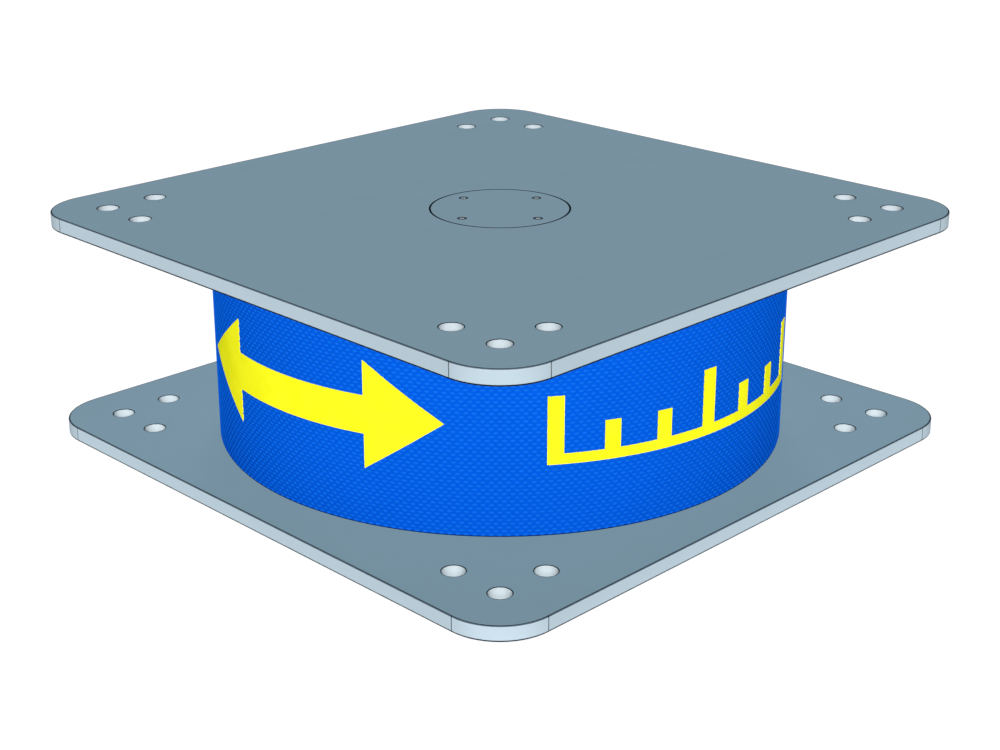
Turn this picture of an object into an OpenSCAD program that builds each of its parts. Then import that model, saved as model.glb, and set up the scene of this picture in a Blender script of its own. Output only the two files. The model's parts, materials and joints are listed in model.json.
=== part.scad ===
// Lead rubber bearing for base isolation, in millimetres.
// Two square flange plates are bonded to a round block of rubber layers and steel shims, with a lead core
// down its middle. Each end of the core is closed by a round cap that four countersunk screws hold flush.
// The origin is the centre of the lower flange plate's underside, and X and Y run along the plates' sides.

/* [Flange plates] */
// Side of each square flange plate
flange_side = 950; // [930:5:1000]
// Thickness of each flange plate
flange_t = 21; // [20:1:30]
// Radius of a flange plate's corners
flange_corner_r = 80; // [60:1:100]
// Chamfer along the flange plate's edges
flange_chamfer = 1; // [0.5:0.25:2]

/* [Anchor bolt holes] */
// Diameter of an anchor bolt hole
anchor_d = 30; // [26:1:33]
// Distance from a plate's edge to its nearest row of holes
anchor_edge = 80; // [70:1:90]
// Distance from the hole in the corner to each of its two neighbours
anchor_pitch = 80; // [70:1:90]
// Chamfer at both mouths of an anchor bolt hole
anchor_chamfer = 0.4; // [0.2:0.1:0.5]

/* [Rubber block] */
// Diameter of the shims and of the rubber bonded between them
bonded_d = 800; // [760:5:840]
// Thickness of the cover rubber around the block
cover_t = 10; // [6:0.5:14]
// Number of rubber layers, which is one more than the number of shims
layer_count = 25; // [20:1:26]
// Thickness of one rubber layer
layer_t = 7; // [5:0.5:8]
// Thickness of one steel shim
shim_t = 5; // [3:0.5:6]
// Chamfer around a shim's outer rim, which the cover rubber fills
shim_rim = 1; // [0.5:0.25:1.25]

/* [Lead core] */
// Diameter of the lead core where the steel holds it
core_d = 130; // [110:2:134]
// Depth to which the pressed lead swells into each rubber layer
core_swell = 1; // [0.5:0.25:2]

/* [Core caps] */
// Distance from the screws' circle to the cap's edge
cap_margin = 25; // [20:1:35]
// Thickness of a cap, which is also the depth of its recess
cap_t = 10; // [8:0.5:11]
// Chamfer around a cap's outer face
cap_chamfer = 1; // [0.5:0.25:1.5]
// Gap between a cap's edge and the wall of its recess
cap_gap = 0.4; // [0.2:0.1:0.8]

/* [Cap screws] */
// Number of screws in each cap
screw_count = 4; // [3:1:8]
// Steel left between the lead core's bore and a tapped screw hole
screw_wall = 7; // [5:0.5:10]
// Thread diameter of a screw
screw_d = 6; // [5:0.5:8]
// Diameter of a screw's countersunk head
screw_head_d = 12; // [11:0.5:14]
// Height of the straight rim of the head
screw_rim = 0.3; // [0.2:0.1:0.5]
// Depth of the head below the cap's outer face
screw_sink = 0.2; // [0.1:0.1:0.5]
// Length of thread that bites in the flange plate
screw_bite = 6; // [5:0.5:7]
// Width across the flats of the hexagon socket
socket_af = 4; // [3:0.5:5]
// Depth of the hexagon socket
socket_depth = 2.5; // [2:0.25:3]
// Clearance around the thread in the cap, and around the rim of the head
screw_gap = 0.3; // [0.2:0.1:0.5]
// Depth of the tapped hole beyond the end of the screw
tap_spare = 1.5; // [0.5:0.25:2]

/* [Hidden] */
$fn = 96;
// A cutting tool runs this far past the face that it opens
past = 1;

stack_h = layer_count * layer_t + (layer_count - 1) * shim_t;
bearing_h = stack_h + 2 * flange_t;
pitch_z = layer_t + shim_t;
bonded_r = bonded_d / 2;
core_r = core_d / 2;
// The screws stand on a circle just outside the core, and the cap covers them
screw_circle_r = core_r + screw_wall + screw_d / 2;
cap_r = screw_circle_r + cap_margin;
// The screw's length from the top of its head
screw_len = cap_t - screw_sink + screw_bite;
anchor_far = flange_side / 2 - anchor_edge;
anchor_near = anchor_far - anchor_pitch;

function two_digits(i) = i < 10 ? str("0", i) : str(i);
function layer_name(i) = str("rubber_layer_", two_digits(i));
function shim_name(i) = str("steel_shim_", two_digits(i));
// Underside of rubber layer i, counted from 1 at the bottom
function layer_z(i) = flange_t + (i - 1) * pitch_z;

flange_colour = [0.47, 0.57, 0.63];
cover_colour = [0.02, 0.38, 0.89];
layer_colour = [0.10, 0.10, 0.11];
shim_colour = [0.62, 0.63, 0.65];
lead_colour = [0.42, 0.44, 0.48];
screw_colour = [0.55, 0.60, 0.64];

// Section of a flange plate from a line inside it, at x = 0, out to its chamfered edge
module edge_section(reach) {
    polygon([
        [0, 0], [reach - flange_chamfer, 0], [reach, flange_chamfer],
        [reach, flange_t - flange_chamfer], [reach - flange_chamfer, flange_t], [0, flange_t]
    ]);
}

// Square plate with round corners and chamfered edges: an arm out to each side, and a round in each corner
module flange_blank() {
    straight = flange_side / 2 - flange_corner_r;
    for (turn = [0 : 90 : 270])
        rotate(turn) {
            rotate([90, 0, 0]) linear_extrude(2 * straight, center = true) edge_section(flange_side / 2);
            translate([straight, straight, 0]) rotate_extrude(angle = 90) edge_section(flange_corner_r);
        }
}

// Cuts one round hole with a chamfer at both faces of a flange plate
module anchor_hole() {
    r = anchor_d / 2;
    translate([0, 0, -past])
        rotate_extrude() polygon([
            [0, 0], [r + anchor_chamfer + past, 0], [r, past + anchor_chamfer],
            [r, past + flange_t - anchor_chamfer], [r + anchor_chamfer + past, 2 * past + flange_t],
            [0, 2 * past + flange_t]
        ]);
}

// Three holes in each corner: one on the diagonal and one on each side of it
module anchor_holes() {
    for (turn = [0 : 90 : 270])
        rotate(turn)
            for (place = [[anchor_far, anchor_far], [anchor_far, anchor_near], [anchor_near, anchor_far]])
                translate(place) anchor_hole();
}

// Puts its children at each screw of a cap
module at_screws() {
    for (i = [0 : screw_count - 1])
        rotate(i * 360 / screw_count) translate([screw_circle_r, 0, 0]) children();
}

// Flange plate with its outer face at z = 0: recess for the cap, bore for the core, tapped holes
module flange_plate() {
    difference() {
        flange_blank();
        anchor_holes();
        translate([0, 0, -past]) cylinder(h = cap_t + past, r = cap_r + cap_gap);
        cylinder(h = flange_t + past, r = core_r);
        at_screws()
            translate([0, 0, cap_t - past]) cylinder(h = past + screw_bite + tap_spare, d = screw_d);
    }
}

// Seat for a countersunk head, cut from the cap's outer face at z = 0
module screw_seat() {
    head_r = screw_head_d / 2;
    hole_r = screw_d / 2 + screw_gap;
    rim_z = screw_sink + screw_rim;
    rotate_extrude() polygon([
        [0, -past], [head_r + screw_gap, -past], [head_r + screw_gap, rim_z], [head_r, rim_z],
        [hole_r, rim_z + head_r - hole_r], [hole_r, cap_t + past], [0, cap_t + past]
    ]);
}

// Round cap with its outer face at z = 0
module core_cap() {
    difference() {
        rotate_extrude() polygon([
            [0, 0], [cap_r - cap_chamfer, 0], [cap_r, cap_chamfer], [cap_r, cap_t], [0, cap_t]
        ]);
        at_screws() screw_seat();
    }
}

// Countersunk screw with a hexagon socket, its head just below z = 0
module cap_screw() {
    head_r = screw_head_d / 2;
    thread_r = screw_d / 2;
    translate([0, 0, screw_sink]) difference() {
        rotate_extrude() polygon([
            [0, 0], [head_r, 0], [head_r, screw_rim], [thread_r, screw_rim + head_r - thread_r],
            [thread_r, screw_len], [0, screw_len]
        ]);
        translate([0, 0, -past]) cylinder(h = past + socket_depth, d = socket_af / cos(30), $fn = 6);
    }
}

// Puts a plate, cap or screw of the lower end at the upper end
module at_top() {
    translate([0, 0, bearing_h]) mirror([0, 0, 1]) children();
}

// Section of rubber layer i
module layer_section(i) {
    inner_r = core_r + core_swell;
    translate([inner_r, layer_z(i)]) square([bonded_r - inner_r, layer_t]);
}

// Section of the shim on top of rubber layer i
module shim_section(i) {
    translate([0, layer_z(i) + layer_t])
        polygon([
            [core_r, 0], [bonded_r - shim_rim, 0], [bonded_r, shim_rim],
            [bonded_r, shim_t - shim_rim], [bonded_r - shim_rim, shim_t], [core_r, shim_t]
        ]);
}

module lower_flange_plate() {
    color(flange_colour) flange_plate();
}

module upper_flange_plate() {
    color(flange_colour) at_top() flange_plate();
}

module lower_core_cap() {
    color(flange_colour) core_cap();
}

module upper_core_cap() {
    color(flange_colour) at_top() core_cap();
}

module lower_cap_screws() {
    color(screw_colour) at_screws() cap_screw();
}

module upper_cap_screws() {
    color(screw_colour) at_top() at_screws() cap_screw();
}

// Sleeve of cover rubber from one flange plate to the other, which flows in over the rim of each shim
module cover_rubber() {
    color(cover_colour) rotate_extrude() difference() {
        translate([bonded_r - shim_rim, flange_t]) square([shim_rim + cover_t, stack_h]);
        for (i = [1 : layer_count]) layer_section(i);
        for (i = [1 : layer_count - 1]) shim_section(i);
    }
}

module rubber_layer(i) {
    color(layer_colour) rotate_extrude() layer_section(i);
}

module steel_shim(i) {
    color(shim_colour) rotate_extrude() shim_section(i);
}

// Lead rod from one cap to the other. It fills the steel's bores, and swells into each rubber layer between them.
module lead_core() {
    color(lead_colour) rotate_extrude() {
        translate([0, cap_t]) square([core_r, bearing_h - 2 * cap_t]);
        for (i = [1 : layer_count]) translate([0, layer_z(i)]) square([core_r + core_swell, layer_t]);
    }
}

lower_flange_plate();
upper_flange_plate();
cover_rubber();
lead_core();
lower_core_cap();
upper_core_cap();
lower_cap_screws();
upper_cap_screws();
for (i = [1 : layer_count]) rubber_layer(i);
for (i = [1 : layer_count - 1]) steel_shim(i);
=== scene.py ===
import json
import math

import bmesh
import bpy
from mathutils import Matrix, Vector

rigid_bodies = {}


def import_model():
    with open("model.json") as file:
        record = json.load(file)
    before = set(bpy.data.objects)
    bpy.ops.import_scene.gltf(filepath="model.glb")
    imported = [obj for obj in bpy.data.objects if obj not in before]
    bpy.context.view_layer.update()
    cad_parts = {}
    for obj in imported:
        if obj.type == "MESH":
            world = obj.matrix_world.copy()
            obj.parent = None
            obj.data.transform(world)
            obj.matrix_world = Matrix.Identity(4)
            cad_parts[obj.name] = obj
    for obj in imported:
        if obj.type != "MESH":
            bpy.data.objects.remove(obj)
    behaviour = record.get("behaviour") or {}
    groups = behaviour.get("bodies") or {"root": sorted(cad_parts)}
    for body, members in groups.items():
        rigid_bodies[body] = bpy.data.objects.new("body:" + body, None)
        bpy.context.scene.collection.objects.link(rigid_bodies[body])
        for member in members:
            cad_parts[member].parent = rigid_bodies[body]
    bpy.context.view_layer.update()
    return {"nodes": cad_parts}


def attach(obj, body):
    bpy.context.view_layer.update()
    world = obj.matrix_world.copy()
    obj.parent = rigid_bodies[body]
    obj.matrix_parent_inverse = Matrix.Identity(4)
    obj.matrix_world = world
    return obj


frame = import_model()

nodes = frame["nodes"]

# Camera
# It looks along the plates' diagonal and down at the bearing, from the distance that the photograph's
# perspective gives. Its shift moves the picture up, as in the photograph.
CAMERA_LENS_MM = 63.892
CAMERA_SHIFT = -0.0489
CAMERA_DISTANCE = 2.4379
CAMERA_HEIGHT = 1.0305
CAMERA_PITCH_DEG = 19.69
DIAGONAL_DEG = 45

camera = bpy.data.objects.new("camera", bpy.data.cameras.new("camera"))
camera.data.lens = CAMERA_LENS_MM
camera.data.shift_y = CAMERA_SHIFT
toward_camera = Vector((math.sin(math.radians(DIAGONAL_DEG)), -math.cos(math.radians(DIAGONAL_DEG)), 0))
camera.location = toward_camera * CAMERA_DISTANCE + Vector((0, 0, CAMERA_HEIGHT))
camera.rotation_euler = (math.radians(90 - CAMERA_PITCH_DEG), 0, math.radians(DIAGONAL_DEG))
bpy.context.scene.collection.objects.link(camera)
bpy.context.scene.camera = camera

# Flange plates
# Square plates of rolled steel with round corners and drilled bolt holes, bonded to the block's two ends and
# painted grey-blue. The side faces and hole walls are painted lighter than the tops, as painted light. Dark
# outlines are painted along every edge, round every hole and where a straight side meets a round corner, and
# the joints round every cap and screw are dark.
PLATE_HALF = 0.475
PLATE_T = 0.021
PLATE_CHAMFER = 0.001
CORNER_R = 0.080
BEARING_H = 0.337
HOLE_R = 0.015
HOLE_CHAMFER = 0.0004
HOLE_FROM_SIDE = 0.080
HOLE_PITCH = 0.080
CAP_R = 0.100
SCREW_CIRCLE_R = 0.075
SEAT_R = 0.0063

# Widths of the painted dark lines
BORDER_LINE = 0.0014
LOW_RIM_LINE = 0.0023
TANGENT_LINE = 0.0016
HOLE_LINE = 0.0013
MOUTH_LINE = 0.0006
CAP_LINE = 0.0030
SEAT_LINE = 0.0008
# The painted line at the tangents of the corners is fainter than at the edges
TANGENT_LINE_SHARE = 0.8

FACE_PAINT = (124, 150, 165)
# The side faces are painted lighter than the tops: painted light
SIDE_LIT_PAINT = (170, 187, 197)
# The top chamfer is painted dark, as part of the painted outline along the top edge
CHAMFER_PAINT = (74, 88, 98)
# The hole walls are painted lighter: painted light
HOLE_LIT_PAINT = (189, 199, 204)
# Painted dark outlines along the edges, round the holes and at the tangents, and dark joints round caps and
# screws
DARK_LINE_PAINT = (22, 33, 41)


class Value:
    """A node's output. Arithmetic on it adds Math nodes, so that a pattern reads as a formula."""

    # Width of the soft step at a level
    STEP_M = 0.0003

    def __init__(self, shader, socket):
        self.shader = shader
        self.socket = socket

    def math(self, operation, *others):
        return self.shader.node("ShaderNodeMath", {"operation": operation}, dict(enumerate((self, *others))))

    def __add__(self, other):
        return self.math("ADD", other)

    def __sub__(self, other):
        return self.math("SUBTRACT", other)

    def __rsub__(self, other):
        return self.shader.node("ShaderNodeMath", {"operation": "SUBTRACT"}, {0: other, 1: self})

    def __mul__(self, other):
        return self.math("MULTIPLY", other)

    def __abs__(self):
        return self.math("ABSOLUTE")

    __radd__ = __add__
    __rmul__ = __mul__

    def least(self, other):
        return self.math("MINIMUM", other)

    def most(self, other):
        return self.math("MAXIMUM", other)

    def length_with(self, other):
        """Length of the vector whose two parts are this value and the other one."""
        return (self * self + other * other).math("SQRT")

    def rises(self, start, end):
        """0 below start, 1 above end, and a smooth step between them. It falls where end is the lower one."""
        low, high, at_low, at_high = (start, end, 0.0, 1.0) if start < end else (end, start, 1.0, 0.0)
        inputs = {"Value": self, "From Min": low, "From Max": high, "To Min": at_low, "To Max": at_high}
        return self.shader.node("ShaderNodeMapRange", {"interpolation_type": "SMOOTHSTEP"}, inputs)

    def above(self, level_m):
        """1 above a level and 0 below it, with a soft step at the level."""
        return self.rises(level_m - self.STEP_M / 2, level_m + self.STEP_M / 2)

    def below(self, level_m):
        """1 below a level and 0 above it, with a soft step at the level."""
        return self.rises(level_m + self.STEP_M / 2, level_m - self.STEP_M / 2)

    def between(self, low_m, high_m):
        return self.above(low_m) * self.below(high_m)


class Shader:
    """The tree of nodes of a material or of the world. It starts empty."""

    def __init__(self, owner):
        owner.use_nodes = True
        self.tree = owner.node_tree
        self.tree.nodes.clear()

    def node(self, kind, settings=None, inputs=None, output=0):
        """Adds a node with its settings and its sockets' values or links. Returns one of its outputs."""
        made = self.tree.nodes.new(kind)
        for name, setting in (settings or {}).items():
            setattr(made, name, setting)
        for name, value in (inputs or {}).items():
            if isinstance(value, Value):
                self.tree.links.new(value.socket, made.inputs[name])
            else:
                made.inputs[name].default_value = value
        return Value(self, made.outputs[output]) if made.outputs else None


class Finish(Shader):
    """A procedural material. Its patterns come from the piece's own coordinates, and a coat ends it."""

    # Numbers of a Mix node's sockets for colours, because its other sockets have the same names
    FIRST_COLOUR = 6
    SECOND_COLOUR = 7
    MIXED_COLOUR = 2

    def __init__(self, name):
        self.material = bpy.data.materials.new(name)
        super().__init__(self.material)
        self.place = self.node("ShaderNodeTexCoord", output="Object")
        parts = self.node("ShaderNodeSeparateXYZ", inputs={"Vector": self.place}).socket.node
        self.x, self.y, self.z = (Value(self, parts.outputs[axis]) for axis in "XYZ")
        self.radius = self.x.length_with(self.y)

    def noise(self, per_metre, detail=2.0):
        """Cloudy pattern about 0.5, with so many patches a metre."""
        inputs = {"Vector": self.place, "Scale": per_metre, "Detail": detail}
        return self.node("ShaderNodeTexNoise", inputs=inputs)

    def mix(self, share, first, second):
        """Goes from the first colour to the second as share goes from 0 to 1. Plain colours are sRGB."""
        first, second = (c if isinstance(c, Value) else srgb(*c) for c in (first, second))
        inputs = {0: share, self.FIRST_COLOUR: first, self.SECOND_COLOUR: second}
        return self.node("ShaderNodeMix", {"data_type": "RGBA"}, inputs, self.MIXED_COLOUR)

    def vary(self, colour, pattern, depth):
        """Makes the colour darker and lighter with a pattern about 0.5, by depth in all."""
        by = 1 - depth / 2 + depth * pattern
        grey = self.node("ShaderNodeCombineXYZ", inputs={"X": by, "Y": by, "Z": by})
        return self.node("ShaderNodeVectorMath", {"operation": "MULTIPLY"}, {0: colour, 1: grey})

    def coat(self, colour, roughness, grain, grain_m, metallic=0.0, gloss=0.5):
        """Ends the material. Its surface is raised by grain_m where the pattern of its grain is 1."""
        bump = self.node("ShaderNodeBump", inputs={"Height": grain, "Distance": grain_m})
        inputs = {"Base Color": colour, "Roughness": roughness, "Normal": bump}
        inputs |= {"Metallic": metallic, "Specular IOR Level": gloss}
        surface = self.node("ShaderNodeBsdfPrincipled", inputs=inputs)
        self.node("ShaderNodeOutputMaterial", inputs={"Surface": surface})
        return self.material


def srgb(red, green, blue):
    """The linear colour, with its alpha, of an sRGB colour from 0 to 255."""
    parts = (c / 255 for c in (red, green, blue))
    return (*(c / 12.92 if c <= 0.04045 else ((c + 0.055) / 1.055) ** 2.4 for c in parts), 1.0)


def from_screw(finish):
    """Distance from the axis of the nearest cap screw."""
    far, near = abs(finish.x).most(abs(finish.y)), abs(finish.x).least(abs(finish.y))
    return (far - SCREW_CIRCLE_R).length_with(near)


def put_on(material, *names):
    """Gives CAD nodes a material in place of the plain one that they came with."""
    for name in names:
        mesh = nodes[name].data
        mesh.materials.clear()
        mesh.materials.append(material)


plate = Finish("grey_blue_plate_paint")
is_upper = plate.z.math("GREATER_THAN", BEARING_H / 2)
height_in_plate = plate.z - (BEARING_H - PLATE_T) * is_upper

arc_centre = PLATE_HALF - CORNER_R
past_x = (abs(plate.x) - arc_centre).most(0.0)
past_y = (abs(plate.y) - arc_centre).most(0.0)
reach = past_x.length_with(past_y)
flat_reach = CORNER_R - PLATE_CHAMFER
at_side = reach.above(flat_reach)
border = reach.between(flat_reach - BORDER_LINE, flat_reach)
top_chamfer = at_side * height_in_plate.above(PLATE_T - PLATE_CHAMFER)
low_rim = at_side * height_in_plate.below(LOW_RIM_LINE)
from_tangent = abs(abs(plate.x).least(abs(plate.y)) - arc_centre)
at_tangent = at_side * from_tangent.below(TANGENT_LINE / 2)

outer_row = PLATE_HALF - HOLE_FROM_SIDE
inner_row = outer_row - HOLE_PITCH
hole_places = ((outer_row, outer_row), (outer_row, inner_row), (inner_row, outer_row))
from_hole, *from_others = [(abs(plate.x) - x).length_with(abs(plate.y) - y) for x, y in hole_places]
for from_other in from_others:
    from_hole = from_hole.least(from_other)
in_hole = from_hole.below(HOLE_R + HOLE_CHAMFER / 2)
at_mouth = abs(height_in_plate - PLATE_T / 2).above(PLATE_T / 2 - MOUTH_LINE)
round_hole = from_hole.below(HOLE_R + HOLE_LINE) * at_mouth
round_cap = abs(plate.radius - CAP_R).below(CAP_LINE / 2)
round_screw = from_screw(plate).below(SEAT_R + SEAT_LINE)
# Painted dark outlines along the edges, round the holes and at the tangents, and dark joints round caps and
# screws
dark_lines = border.most(low_rim).most(TANGENT_LINE_SHARE * at_tangent)
dark_lines = dark_lines.most(round_hole).most(round_cap).most(round_screw)

mottle = plate.noise(per_metre=14, detail=4)
# Painted light: the side faces get a lighter paint than the tops
paint = plate.mix(at_side, FACE_PAINT, SIDE_LIT_PAINT)
paint = plate.mix(top_chamfer, paint, CHAMFER_PAINT)
# Painted light on the walls of the bolt holes
paint = plate.mix(in_hole, paint, HOLE_LIT_PAINT)
paint = plate.vary(paint, mottle, depth=0.05)
paint = plate.mix(dark_lines, paint, DARK_LINE_PAINT)
plate_finish = plate.coat(
    paint, roughness=0.5 + 0.14 * mottle, grain=plate.noise(per_metre=420), grain_m=0.00004, gloss=0.0
)
put_on(plate_finish, "lower_flange_plate", "upper_flange_plate")

# Steel shims
# Rings of mild steel sheet that lie between the rubber layers. They are blasted so that the rubber bonds to
# them, and have a chamfered rim.
STEEL_DARK = (150, 152, 156)
STEEL_LIGHT = (172, 174, 178)

steel = Finish("blasted_shim_steel")
grit = steel.noise(per_metre=1800, detail=1)
steel_colour = steel.mix(steel.noise(per_metre=25), STEEL_DARK, STEEL_LIGHT)
steel_finish = steel.coat(
    steel_colour, roughness=0.42 + 0.2 * grit, grain=grit, grain_m=0.00004, metallic=1.0
)
put_on(steel_finish, *(name for name in nodes if name.startswith("steel_shim")))

# Rubber layers
# Rings of black natural rubber, bonded to the shims and to the flange plates under heat and pressure. They
# have a grey bloom in patches.
RUBBER_BLACK = (24, 24, 26)
RUBBER_BLOOM = (40, 40, 42)

rubber = Finish("black_layer_rubber")
bloom = rubber.noise(per_metre=18, detail=3)
rubber_colour = rubber.mix(bloom.rises(start=0.4, end=0.75), RUBBER_BLACK, RUBBER_BLOOM)
rubber_finish = rubber.coat(
    rubber_colour, roughness=0.6 + 0.15 * bloom, grain=rubber.noise(per_metre=900), grain_m=0.00005
)
put_on(rubber_finish, *(name for name in nodes if name.startswith("rubber_layer")))

# Cover rubber
# A sleeve of blue rubber moulded round the block, which keeps air and water off the layers. Its outside is
# covered with fine raised dots in staggered rows, pressed in by the mould, whose tops are painted lighter as
# a painted highlight. It is painted darker where it meets the plates, as painted shade in the crease.
COVER_R = 0.410
COVER_LOW = PLATE_T
COVER_HIGH = BEARING_H - PLATE_T
END_LINE = 0.0014
DOT_ROWS = 57
DOTS_ROUND = 240
DOT_SIDES = 6
DOT_WIDTH = 0.009
DOT_HEIGHT = 0.0041
DOT_TOP_SHARE = 0.75
DOT_PROUD = 0.0005
DOT_SUNK = 0.0003
# How far out of the sleeve a dot's painted highlight begins
DOT_FOOT = DOT_PROUD / 5

SLEEVE_BLUE = (2, 80, 198)
# The dots' tops are painted lighter: a painted highlight
DOT_HIGHLIGHT_BLUE = (12, 94, 206)
# Painted shade in the crease where the sleeve meets the plates
END_SHADE_BLUE = (0, 26, 84)

cover = Finish("blue_cover_rubber")
clouds = cover.noise(per_metre=9, detail=3)
# Painted highlight on the dots
dot_highlight = cover.radius.above(COVER_R + DOT_FOOT)
# Painted shade in the crease at both ends of the sleeve
at_end = cover.z.below(COVER_LOW + END_LINE).most(cover.z.above(COVER_HIGH - END_LINE))
blue = cover.mix(dot_highlight, SLEEVE_BLUE, DOT_HIGHLIGHT_BLUE)
blue = cover.vary(blue, clouds, depth=0.06)
blue = cover.mix(at_end, blue, END_SHADE_BLUE)
cover_finish = cover.coat(
    blue, roughness=0.55 + 0.12 * clouds, grain=cover.noise(per_metre=700), grain_m=0.00004, gloss=0.0
)
put_on(cover_finish, "cover_rubber")


def add_object(name, shape, material):
    """Makes an object of a finished bmesh."""
    mesh = bpy.data.meshes.new(name)
    shape.to_mesh(mesh)
    shape.free()
    mesh.materials.append(material)
    made = bpy.data.objects.new(name, mesh)
    bpy.context.scene.collection.objects.link(made)
    return made


def add_piece(name, shape, material):
    """Makes a piece that rides on the bearing's one body, of a bmesh whose doubles it merges."""
    bmesh.ops.remove_doubles(shape, verts=shape.verts, dist=1e-6)
    bmesh.ops.recalc_face_normals(shape, faces=shape.faces)
    piece = add_object(name, shape, material)
    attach(piece, "root")


row_step = (COVER_HIGH - COVER_LOW) / DOT_ROWS
column_step = math.tau / DOTS_ROUND
dot_depth = DOT_PROUD + DOT_SUNK
# The front half starts a quarter turn to the left of the side that faces the camera
first_turn = -math.radians(90 + DIAGONAL_DEG)
for half, side in enumerate(("front", "back")):
    dots = bmesh.new()
    for row in range(DOT_ROWS):
        stagger = row % 2 * column_step / 2
        turn = Matrix.Rotation(first_turn + half * math.pi + stagger, 4, "Z")
        out = Matrix.Translation((COVER_R - DOT_SUNK + dot_depth / 2, 0, COVER_LOW + (row + 0.5) * row_step))
        tip = Matrix.Rotation(math.pi / 2, 4, "Y")
        oval = Matrix.Diagonal((DOT_HEIGHT / DOT_WIDTH, 1, 1, 1))
        bmesh.ops.create_cone(
            dots,
            cap_ends=True,
            segments=DOT_SIDES,
            radius1=DOT_WIDTH / 2,
            radius2=DOT_WIDTH / 2 * DOT_TOP_SHARE,
            depth=dot_depth,
            matrix=turn @ out @ tip @ oval,
        )
    steps = DOTS_ROUND // 2 - 1
    column = dots.verts[:] + dots.edges[:] + dots.faces[:]
    bmesh.ops.spin(
        dots, geom=column, axis=(0, 0, 1), angle=steps * column_step, steps=steps, use_duplicate=True
    )
    for face in dots.faces:
        face.smooth = True
    add_piece(f"cover_dots_{side}", dots, cover_finish)

# Marks on the cover
# Plain shapes of yellow rubber, moulded on the cover to the left and right of its front: an arrow with a head
# at each end, along the way that the bearing gives, and a row of bars on a base. Their places along the cover
# are in steps to the right of the side that faces the camera.
STEP_DEG = 0.75
MARK_IN = 0.4095
MARK_OUT = 0.4112
ARROW_FIRST = -97
ARROW_LAST = -13
HEAD_STEPS = 20
ARROW_Z = 0.1735
ARROW_HALF = 0.0735
SHAFT_HALF = 0.026
BARS_FIRST = 11
BARS_PITCH = 14
BARS_COUNT = 7
BAR_STEPS = 4
BARS_LAST = BARS_FIRST + (BARS_COUNT - 1) * BARS_PITCH + BAR_STEPS
BASE_LOW = 0.119
BASE_HIGH = 0.133
SHORT_BAR_HIGH = 0.172
TALL_BAR_HIGH = 0.211
TALL_BAR_EVERY = 3

YELLOW_DARK = (238, 236, 26)
YELLOW_LIGHT = (244, 242, 34)

yellow = Finish("yellow_mark_rubber")
fade = yellow.noise(per_metre=30, detail=3)
yellow_colour = yellow.mix(fade.rises(start=0.3, end=0.7), YELLOW_DARK, YELLOW_LIGHT)
yellow_finish = yellow.coat(
    yellow_colour, roughness=0.5 + 0.12 * fade, grain=yellow.noise(per_metre=700), grain_m=0.00004, gloss=0.0
)


def mark_point(step, z):
    """Point at a step and a height, on the side of the marks that lies in the cover."""
    return Matrix.Rotation(math.radians(step * STEP_DEG - DIAGONAL_DEG), 3, "Z") @ Vector((MARK_IN, 0, z))


def is_marked(face):
    """Whether a face of the band lies in the arrow or in the row of bars."""
    centre = face.calc_center_median()
    step = (math.degrees(math.atan2(centre.y, centre.x)) + DIAGONAL_DEG) / STEP_DEG
    if ARROW_FIRST < step < ARROW_LAST:
        from_tip = min(step - ARROW_FIRST, ARROW_LAST - step)
        half = ARROW_HALF * from_tip / HEAD_STEPS if from_tip < HEAD_STEPS else SHAFT_HALF
        return abs(centre.z - ARROW_Z) < half
    if BARS_FIRST < step < BARS_LAST:
        bar, past_start = divmod(step - BARS_FIRST, BARS_PITCH)
        high = TALL_BAR_HIGH if bar % TALL_BAR_EVERY == 0 else SHORT_BAR_HIGH
        return BASE_LOW < centre.z < (high if past_start < BAR_STEPS else BASE_HIGH)
    return False


levels = [ARROW_Z + side * half for side in (-1, 1) for half in (SHAFT_HALF, ARROW_HALF)]
levels += [BASE_LOW, BASE_HIGH, SHORT_BAR_HIGH, TALL_BAR_HIGH]
marks = bmesh.new()
line = [marks.verts.new(mark_point(ARROW_FIRST, z)) for z in sorted(levels)]
edges = [marks.edges.new(pair) for pair in zip(line, line[1:])]
band_steps = BARS_LAST - ARROW_FIRST
bmesh.ops.spin(
    marks, geom=line + edges, axis=(0, 0, 1), angle=math.radians(band_steps * STEP_DEG), steps=band_steps
)
for tip, inward in ((ARROW_FIRST, 1), (ARROW_LAST, -1)):
    base = tip + inward * HEAD_STEPS
    for side in (-1, 1):
        slope = mark_point(base, ARROW_Z + side * ARROW_HALF) - mark_point(tip, ARROW_Z)
        outward = mark_point((tip + base) / 2, 0)
        bmesh.ops.bisect_plane(
            marks,
            geom=marks.verts[:] + marks.edges[:] + marks.faces[:],
            plane_co=mark_point(tip, ARROW_Z),
            plane_no=slope.cross(outward),
        )
bmesh.ops.delete(marks, geom=[face for face in marks.faces if not is_marked(face)], context="FACES")
raised = bmesh.ops.extrude_face_region(marks, geom=marks.faces[:], use_keep_orig=True)["geom"]
raised_points = [part for part in raised if isinstance(part, bmesh.types.BMVert)]
stretch = MARK_OUT / MARK_IN
bmesh.ops.scale(marks, vec=(stretch, stretch, 1), verts=raised_points)
add_piece("cover_marks", marks, yellow_finish)

# Lead core
# A rod of soft cast lead, pressed into the bore down the middle of the block. It is dull grey, and darker
# where it has oxidised.
OXIDE_GREY = (92, 96, 104)
LEAD_GREY = (128, 131, 138)

lead = Finish("dull_cast_lead")
oxide = lead.noise(per_metre=35, detail=4)
lead_colour = lead.mix(oxide.rises(start=0.35, end=0.65), OXIDE_GREY, LEAD_GREY)
lead_finish = lead.coat(
    lead_colour, roughness=0.5 + 0.2 * oxide, grain=lead.noise(per_metre=260), grain_m=0.0002, metallic=0.9
)
put_on(lead_finish, "lead_core")

# Core caps
# A round steel cap closes the bore at each end of the core, flush in its recess, in the plates' paint.
put_on(plate_finish, "lower_core_cap", "upper_core_cap")

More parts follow.
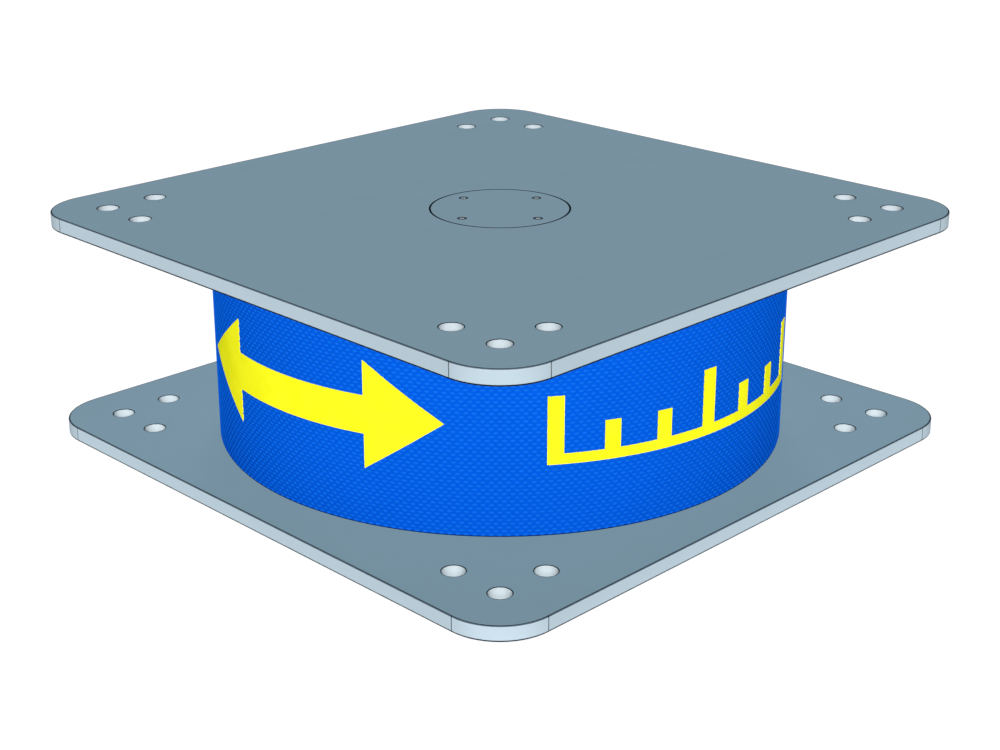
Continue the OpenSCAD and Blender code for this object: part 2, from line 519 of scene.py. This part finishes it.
# Cap screws
# Four countersunk screws with a hexagon socket hold each cap. They are zinc plated, and their heads are dark
# from halfway out to the rim.
DARK_RIM_R = 0.0031
ZINC_DARK = (178, 192, 200)
ZINC_LIGHT = (190, 203, 210)
RIM_GREY = (48, 60, 68)

zinc = Finish("zinc_plate")
at_head_rim = from_screw(zinc).above(DARK_RIM_R)
zinc_colour = zinc.mix(zinc.noise(per_metre=400), ZINC_DARK, ZINC_LIGHT)
zinc_colour = zinc.mix(at_head_rim, zinc_colour, RIM_GREY)
zinc_finish = zinc.coat(
    zinc_colour,
    roughness=0.4 + 0.15 * zinc.noise(per_metre=300),
    grain=zinc.noise(per_metre=1500),
    grain_m=0.00002,
    metallic=0.9 * (1 - at_head_rim),
    gloss=0.01,
)
put_on(zinc_finish, "lower_cap_screws", "upper_cap_screws")

# Floor
# A pale sheet that fills the picture. It keeps the bearing's shadow, and shows white where the light is full.
# It lies just under the plate and is clear from below, so that the bearing's underside can be looked at.
FLOOR_HALF = 12
FLOOR_DROP = 0.0005
FLOOR_GREY = 0.8
FLOOR_GLOW = 0.31


def seen_directly(shader):
    """1 for rays from the camera, in a reflection or through glass, and 0 for rays that light the bearing."""
    path = shader.node("ShaderNodeLightPath").socket.node
    kinds = ("Is Camera Ray", "Is Glossy Ray", "Is Transmission Ray")
    camera_ray, glossy_ray, transmission_ray = (Value(shader, path.outputs[kind]) for kind in kinds)
    return camera_ray.most(glossy_ray).most(transmission_ray)


floor_material = bpy.data.materials.new("pale_floor")
pale = Shader(floor_material)
matt = pale.node("ShaderNodeBsdfDiffuse", inputs={"Color": (FLOOR_GREY, FLOOR_GREY, FLOOR_GREY, 1)})
glow = pale.node("ShaderNodeEmission", inputs={"Strength": FLOOR_GLOW * seen_directly(pale)})
both = pale.node("ShaderNodeAddShader", inputs={0: matt, 1: glow})
clear = pale.node("ShaderNodeBsdfTransparent")
from_below = pale.node("ShaderNodeNewGeometry", output="Backfacing")
one_sided = pale.node("ShaderNodeMixShader", inputs={0: from_below, 1: both, 2: clear})
pale.node("ShaderNodeOutputMaterial", inputs={"Surface": one_sided})

sheet = bmesh.new()
below_plate = Matrix.Translation((0, 0, -FLOOR_DROP))
bmesh.ops.create_grid(sheet, x_segments=1, y_segments=1, size=FLOOR_HALF, matrix=below_plate)
floor = add_object("floor", sheet, floor_material)

# Light
# A lamp on the camera's side and one behind cast the shadows. Two more, in front and overhead, fill them, and
# a dim room that shows white to the camera closes the set. No lamp glares in the paint, and the block throws
# no blue light on the plates.
KEY_LEVEL = 0.4
FRONT_LEVEL = 0.8
KEY_ELEVATION_DEG = 18
KEY_ANGLE_DEG = 12
OVERHEAD_LEVEL = 0.465
OVERHEAD_ELEVATION_DEG = 90
BACK_LEVEL = 0.8
BACK_ELEVATION_DEG = 4
BACK_ANGLE_DEG = 25
ROOM_LEVEL = 0.02


def add_lamp(name, level, elevation_deg, angle_deg, turn_deg, casts_shadow):
    """A sun that lights a white surface facing it at the level given, and makes no glare."""
    sun = bpy.data.lights.new(name, "SUN")
    sun.energy = level * math.pi
    sun.angle = math.radians(angle_deg)
    sun.use_shadow = casts_shadow
    lamp = bpy.data.objects.new(name, sun)
    lamp.rotation_euler = (math.radians(90 - elevation_deg), 0, math.radians(turn_deg))
    lamp.visible_glossy = False
    bpy.context.scene.collection.objects.link(lamp)


add_lamp("key", KEY_LEVEL, KEY_ELEVATION_DEG, KEY_ANGLE_DEG, DIAGONAL_DEG, casts_shadow=True)
add_lamp("front", FRONT_LEVEL, KEY_ELEVATION_DEG, KEY_ANGLE_DEG, DIAGONAL_DEG, casts_shadow=False)
add_lamp("overhead", OVERHEAD_LEVEL, OVERHEAD_ELEVATION_DEG, KEY_ANGLE_DEG, turn_deg=0, casts_shadow=False)
add_lamp("back", BACK_LEVEL, BACK_ELEVATION_DEG, BACK_ANGLE_DEG, DIAGONAL_DEG + 180, casts_shadow=True)

for thing in bpy.data.objects:
    if thing.name.startswith(("lead_core", "steel_shim", "rubber_layer", "cover")):
        thing.visible_diffuse = False

world = bpy.data.worlds.new("room")
bpy.context.scene.world = world
room = Shader(world)
strength = seen_directly(room).most(ROOM_LEVEL)
background = room.node("ShaderNodeBackground", inputs={"Color": (1, 1, 1, 1), "Strength": strength})
room.node("ShaderNodeOutputWorld", inputs={"Surface": background})

bpy.context.scene.view_settings.view_transform = "Standard"
